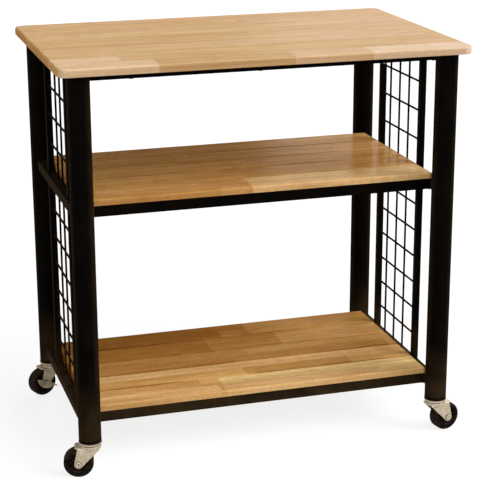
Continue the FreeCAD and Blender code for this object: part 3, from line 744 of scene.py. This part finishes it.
def tack(centre, axis):
    """A weld tack: half a flattened ball standing on a wall.

    A point's distance from the axis is the sine of its tilt and its height the cosine. The foot under it
    closes in halfway and then to one point.
    """
    centre, axis = np.array(centre), np.array(axis, dtype=float)
    other = np.array([0.0, 0.0, 1.0]) if abs(axis[2]) < 0.5 else np.array([1.0, 0.0, 0.0])
    third = np.cross(axis, other)
    tilt = np.linspace(0, math.pi / 2, TACK_ROWS)[:, None, None]
    turn = np.linspace(0, 2 * math.pi, TACK_COLUMNS, endpoint=False)[None, :, None]
    flat = TACK_RADIUS * (other * np.cos(turn) + third * np.sin(turn))
    dome = centre + np.sin(tilt) * flat + TACK_HEIGHT * np.cos(tilt) * axis
    foot = centre + 0.5 * flat - TACK_SINK * axis
    hub = np.broadcast_to(centre - TACK_SINK * axis, foot.shape)
    return np.concatenate([dome, foot, hub])


def wire_tacks():
    """Tacks at both ends of every grille wire, on the rails and on the uprights."""
    tacks = []
    for grille, cells in CELLS.items():
        for side, sign in zip(SIDES, (-1, 1)):
            centre, half = middle(f"{grille}_{side}_uprights")
            mesh_x = centre[0] - sign * MESH_INSET
            off = sign * (WIRE_HALF - WIRE_SINK)
            for i in (-1, 0, 1):
                for top in (-1, 1):
                    spot = (mesh_x - off, i * WIRE_PITCH, centre[2] + top * half[2])
                    tacks.append(tack(spot, (0, 0, -top)))
            for k in range(1, cells):
                level = centre[2] + half[2] * (2 * k / cells - 1)
                for end in (-1, 1):
                    spot = (mesh_x + off, end * (half[1] - 2 * UPRIGHT_HALF), level)
                    tacks.append(tack(spot, (0, -end, 0)))
    return tacks


# Stops a division by nothing where two corners coincide
LEAST_LENGTH = 1e-9


def rounded(corners, steps=5):
    """A profile through corners given as (radius, offset, rounding): each becomes an arc of that rounding.

    The arc is a quadratic curve from one tangent point to the next, with the corner as its middle point.
    """
    places = np.array([c[:2] for c in corners], dtype=float)
    rounding = np.array([c[2] for c in corners], dtype=float)
    before = np.roll(places, 1, axis=0) - places
    after = np.roll(places, -1, axis=0) - places
    before_length = np.maximum(np.linalg.norm(before, axis=1), LEAST_LENGTH)
    after_length = np.maximum(np.linalg.norm(after, axis=1), LEAST_LENGTH)
    cut = np.minimum(rounding, 0.5 * np.minimum(before_length, after_length))[:, None]
    first = places + before / before_length[:, None] * cut
    last = places + after / after_length[:, None] * cut
    t = np.linspace(0, 1, steps)[None, :, None]
    curve = (1 - t) ** 2 * first[:, None] + 2 * t * (1 - t) * places[:, None] + t ** 2 * last[:, None]
    return curve.reshape(-1, 2)


def lathe(profile, centre, axis, segments):
    """A profile of (radius, offset) points turned about an axis through centre, closed round the axis."""
    axis = np.array(axis, dtype=float)
    up = np.array([0.0, 0.0, 1.0])
    side = np.cross(up, axis)
    angle = np.linspace(0, 2 * math.pi, segments, endpoint=False)
    spoke = side * np.cos(angle)[:, None] + up * np.sin(angle)[:, None]
    return np.array(centre) + profile[:, None, 1:] * axis + profile[:, None, :1] * spoke


AXLE_RADIUS = 4.0 * MM
CHEEK_OUTER = 15.2 * MM
BRAKE_SEAT = 17.8 * MM
HEAD_RADIUS = 6.5 * MM
HEAD_HEIGHT = 2.2 * MM
# Profile of a rivet head from its rim inwards: radius, share of the head's height, rounding
HEAD_PROFILE = (
    (HEAD_RADIUS, 0.0, 0.2 * MM), (HEAD_RADIUS - 0.4 * MM, 0.75, 1.0 * MM), (3.6 * MM, 1.0, 1.2 * MM),
    (2.3 * MM, 1.0, 0.5 * MM), (1.7 * MM, 0.45, 0.5 * MM), (0.0, 0.40, 0.0),
)
HEAD_STEPS = 4
# Painted shade on a head: its share at the rim, fading over a fifth of the radius, and in the dimple
RIM_SHADE, RIM_FADE_SHARE = 0.8, 0.2
DIMPLE_SHADE, DIMPLE_RADIUS = 0.6, 1.8 * MM
# Dust lies on the tread, from the ring groove outwards
DUST_FROM, DUST_FADE = 22 * MM, 4 * MM
WHEEL_SEGMENTS = 96
RIVET_SEGMENTS = 48

# Half section of the wheel from the bore round by the right-hand side, in millimetres: radius, offset along
# the axle, rounding
WHEEL_SIDE = [
    (4.05, 12.9, 0.4), (8.5, 12.9, 1.0), (9.4, 9.6, 1.0), (10.4, 9.0, 0.8),
    (15.2, 9.0, 1.0), (17.6, 11.4, 1.2), (19.5, 12.0, 0.6), (20.6, 12.0, 0.3),
    (20.9, 11.6, 0.2), (21.4, 11.6, 0.2), (21.7, 12.0, 0.3), (22.6, 12.0, 0.6),
    (25.07, 12.0, 2.07), (28.0, 9.07, 2.07), (28.0, 0.5, 0.2), (27.8, 0.25, 0.2),
]


def axle_head(seat, sign):
    """Profile of one rivet head: a dome with a dimple in the middle, from the rim inwards."""
    return [(radius, sign * (seat + share * HEAD_HEIGHT), rounding)
            for radius, share, rounding in HEAD_PROFILE]


def closed(profile):
    """A profile with its first point again at its end."""
    return np.concatenate([profile, profile[:1]])


def casters():
    """Wheels with a mould line and a ring groove, and axle rivets with dimples.

    They stand in place of the plain solids. A wheel's section is its half section and the mirror of that.
    """
    turning = {joint["child"]: joint for joint in frame["joints"]}
    section = np.array(WHEEL_SIDE) * MM
    mirrored = section[::-1] * np.array([1, -1, 1])
    wheel_profile = closed(rounded(np.concatenate([section, mirrored])))
    tread_dust = np.clip((wheel_profile[:, 0] - DUST_FROM) / DUST_FADE, 0, 1)
    for corner in CORNERS:
        joint = turning[f"{corner}_roller"]
        centre, axis = joint["pos_m"], joint["axis"]
        tyre = [lathe(wheel_profile, centre, axis, WHEEL_SEGMENTS)]
        wheel = piece(f"{corner}_tyre", tyre, f"{corner}_roller", WHEEL_PLASTIC, tread_dust)
        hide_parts(f"{corner}_wheel")

        # The rear left brake sits on the axle's positive side and the rear right one on its negative side
        seats = {1: CHEEK_OUTER, -1: CHEEK_OUTER}
        if f"{corner}_brake" in NODES:
            seats[1 if corner.endswith("left") else -1] = BRAKE_SEAT
        near = axle_head(seats[1], 1)
        far = axle_head(seats[-1], -1)
        shaft = [(AXLE_RADIUS, -seats[-1], 0.0), (AXLE_RADIUS, seats[1], 0.0)]
        profile = closed(rounded(far[::-1] + shaft + near, HEAD_STEPS))
        radius = profile[:, 0]
        # Painted shade round the rim and in the dimple of each rivet head
        off_rim = (HEAD_RADIUS - radius) / (RIM_FADE_SHARE * HEAD_RADIUS)
        rivet_shade = (RIM_SHADE * np.exp(-off_rim ** 2)
                  + DIMPLE_SHADE * np.exp(-(radius / DIMPLE_RADIUS) ** 4))
        # The rear rivets take the rear zinc, darkened as painted shade
        zinc = SHADED_REAR_ZINC if corner.startswith("rear") else ZINC
        axle = [lathe(profile, centre, axis, RIVET_SEGMENTS)]
        rivet = piece(f"{corner}_axle_rivet", axle, f"{corner}_swivel", zinc, rivet_shade)
        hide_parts(f"{corner}_axle")


# Studio: the paper's albedo and its glow where it is looked at, the floor's reach and its drop under the
# wheels in metres, and the sky's strength as light
PAPER_ALBEDO = 0.26
PAPER_GLOW = 0.80
FLOOR_REACH = 30.0
FLOOR_DROP = 0.2 * MM
SKY_LIGHT = 0.31
WHITE = (1, 1, 1, 1)
# Suns: azimuth from the front towards the right, elevation, strength, and spread in degrees
SUNS = {
    "key": (56, 38, 2.50, 40),
    "front": (-8, 28, 1.00, 60),
    "fill": (-72, 4, 0.90, 40),
}
# A large panel far behind on the right, which the lacquer mirrors: width, height, watts, place and turn
PANEL_WIDTH, PANEL_HEIGHT = 4.6, 1.9
PANEL_POWER = 600.0
PANEL_PLACE = (6.1, 11.4, 3.2)
PANEL_TURN = (-78, 0, -25)


def looked_at(tree):
    """1 for rays from the camera, straight, mirrored or through glass, and 0 for light."""
    seen = 0.0
    for kind in ("Is Camera Ray", "Is Glossy Ray", "Is Transmission Ray"):
        ray = add(tree, "LightPath", out=kind)
        seen = add(tree, "Math", {0: ray, 1: seen}, operation="ADD", use_clamp=True)
    return seen


def stage():
    """A pale floor that is white to the camera where nothing shades it, soft suns and a dim white sky."""
    material, tree, _ = new_material("white_paper_floor")
    tree.nodes.clear()
    paper = add(tree, "BsdfDiffuse", {"Color": (PAPER_ALBEDO, PAPER_ALBEDO, PAPER_ALBEDO, 1)})
    strength = add(tree, "Math", {0: looked_at(tree), 1: PAPER_GLOW}, operation="MULTIPLY")
    glow = add(tree, "Emission", {"Color": WHITE, "Strength": strength})
    add(tree, "OutputMaterial", {"Surface": add(tree, "AddShader", {0: paper, 1: glow})})
    mesh = bpy.data.meshes.new("floor")
    signs = ((-1, -1), (1, -1), (1, 1), (-1, 1))
    corners = [(x * FLOOR_REACH, y * FLOOR_REACH, -FLOOR_DROP) for x, y in signs]
    mesh.from_pydata(corners, [], [(0, 1, 2, 3)])
    mesh.materials.append(material)
    floor = bpy.data.objects.new("floor", mesh)
    bpy.context.scene.collection.objects.link(floor)

    world = bpy.data.worlds.new("studio")
    bpy.context.scene.world = world
    world.use_nodes = True
    tree = world.node_tree
    tree.nodes.clear()
    strength = {"Value": looked_at(tree), "To Min": SKY_LIGHT, "To Max": 1.0}
    strength = add(tree, "MapRange", strength, "Result")
    sky = add(tree, "Background", {"Color": WHITE, "Strength": strength})
    add(tree, "OutputWorld", {"Surface": sky})

    for name, (azimuth, elevation, strength, spread) in SUNS.items():
        lamp = bpy.data.lights.new(name, "SUN")
        lamp.energy = strength
        lamp.angle = math.radians(spread)
        sun = bpy.data.objects.new(name, lamp)
        sun.rotation_euler = np.radians([90 - elevation, 0, azimuth]).tolist()
        bpy.context.scene.collection.objects.link(sun)

    lamp = bpy.data.lights.new("panel", "AREA")
    lamp.shape = "RECTANGLE"
    lamp.size, lamp.size_y, lamp.energy = PANEL_WIDTH, PANEL_HEIGHT, PANEL_POWER
    panel = bpy.data.objects.new("panel", lamp)
    panel.location = PANEL_PLACE
    panel.rotation_euler = np.radians(PANEL_TURN).tolist()
    panel.visible_camera = False
    bpy.context.scene.collection.objects.link(panel)


def camera():
    """The photograph's camera: forward from yaw and pitch, then rolled about it."""
    yaw, pitch, roll = np.radians([YAW, PITCH, ROLL])
    level = np.array([-math.sin(yaw), math.cos(yaw), 0.0])
    forward = math.cos(pitch) * level + math.sin(pitch) * np.array([0.0, 0.0, 1.0])
    flat_right = np.array([math.cos(yaw), math.sin(yaw), 0.0])
    flat_up = np.cross(flat_right, forward)
    right = math.cos(roll) * flat_right + math.sin(roll) * flat_up
    up = math.cos(roll) * flat_up - math.sin(roll) * flat_right
    lens = bpy.data.cameras.new("camera")
    lens.sensor_width = SENSOR
    lens.lens = SENSOR * FOCAL_PX / FRAME_PX
    lens.clip_end = FAR_CLIP
    eye = bpy.data.objects.new("camera", lens)
    turn = np.eye(4)
    turn[:3] = np.stack([right, up, -forward, EYE], axis=1)
    eye.matrix_world = Matrix(turn.tolist())
    bpy.context.scene.collection.objects.link(eye)
    bpy.context.scene.camera = eye


paint_nodes()
piece("side_rail_welds", side_rail_welds(), "frame", POWDER_COAT)
piece("cross_rail_welds", cross_rail_welds(), "frame", POWDER_COAT)
piece("upright_welds", upright_welds(), "frame", POWDER_COAT)
piece("wire_tacks", wire_tacks(), "frame", POWDER_COAT)
casters()
stage()
camera()
bpy.context.scene.view_settings.view_transform = "Standard"
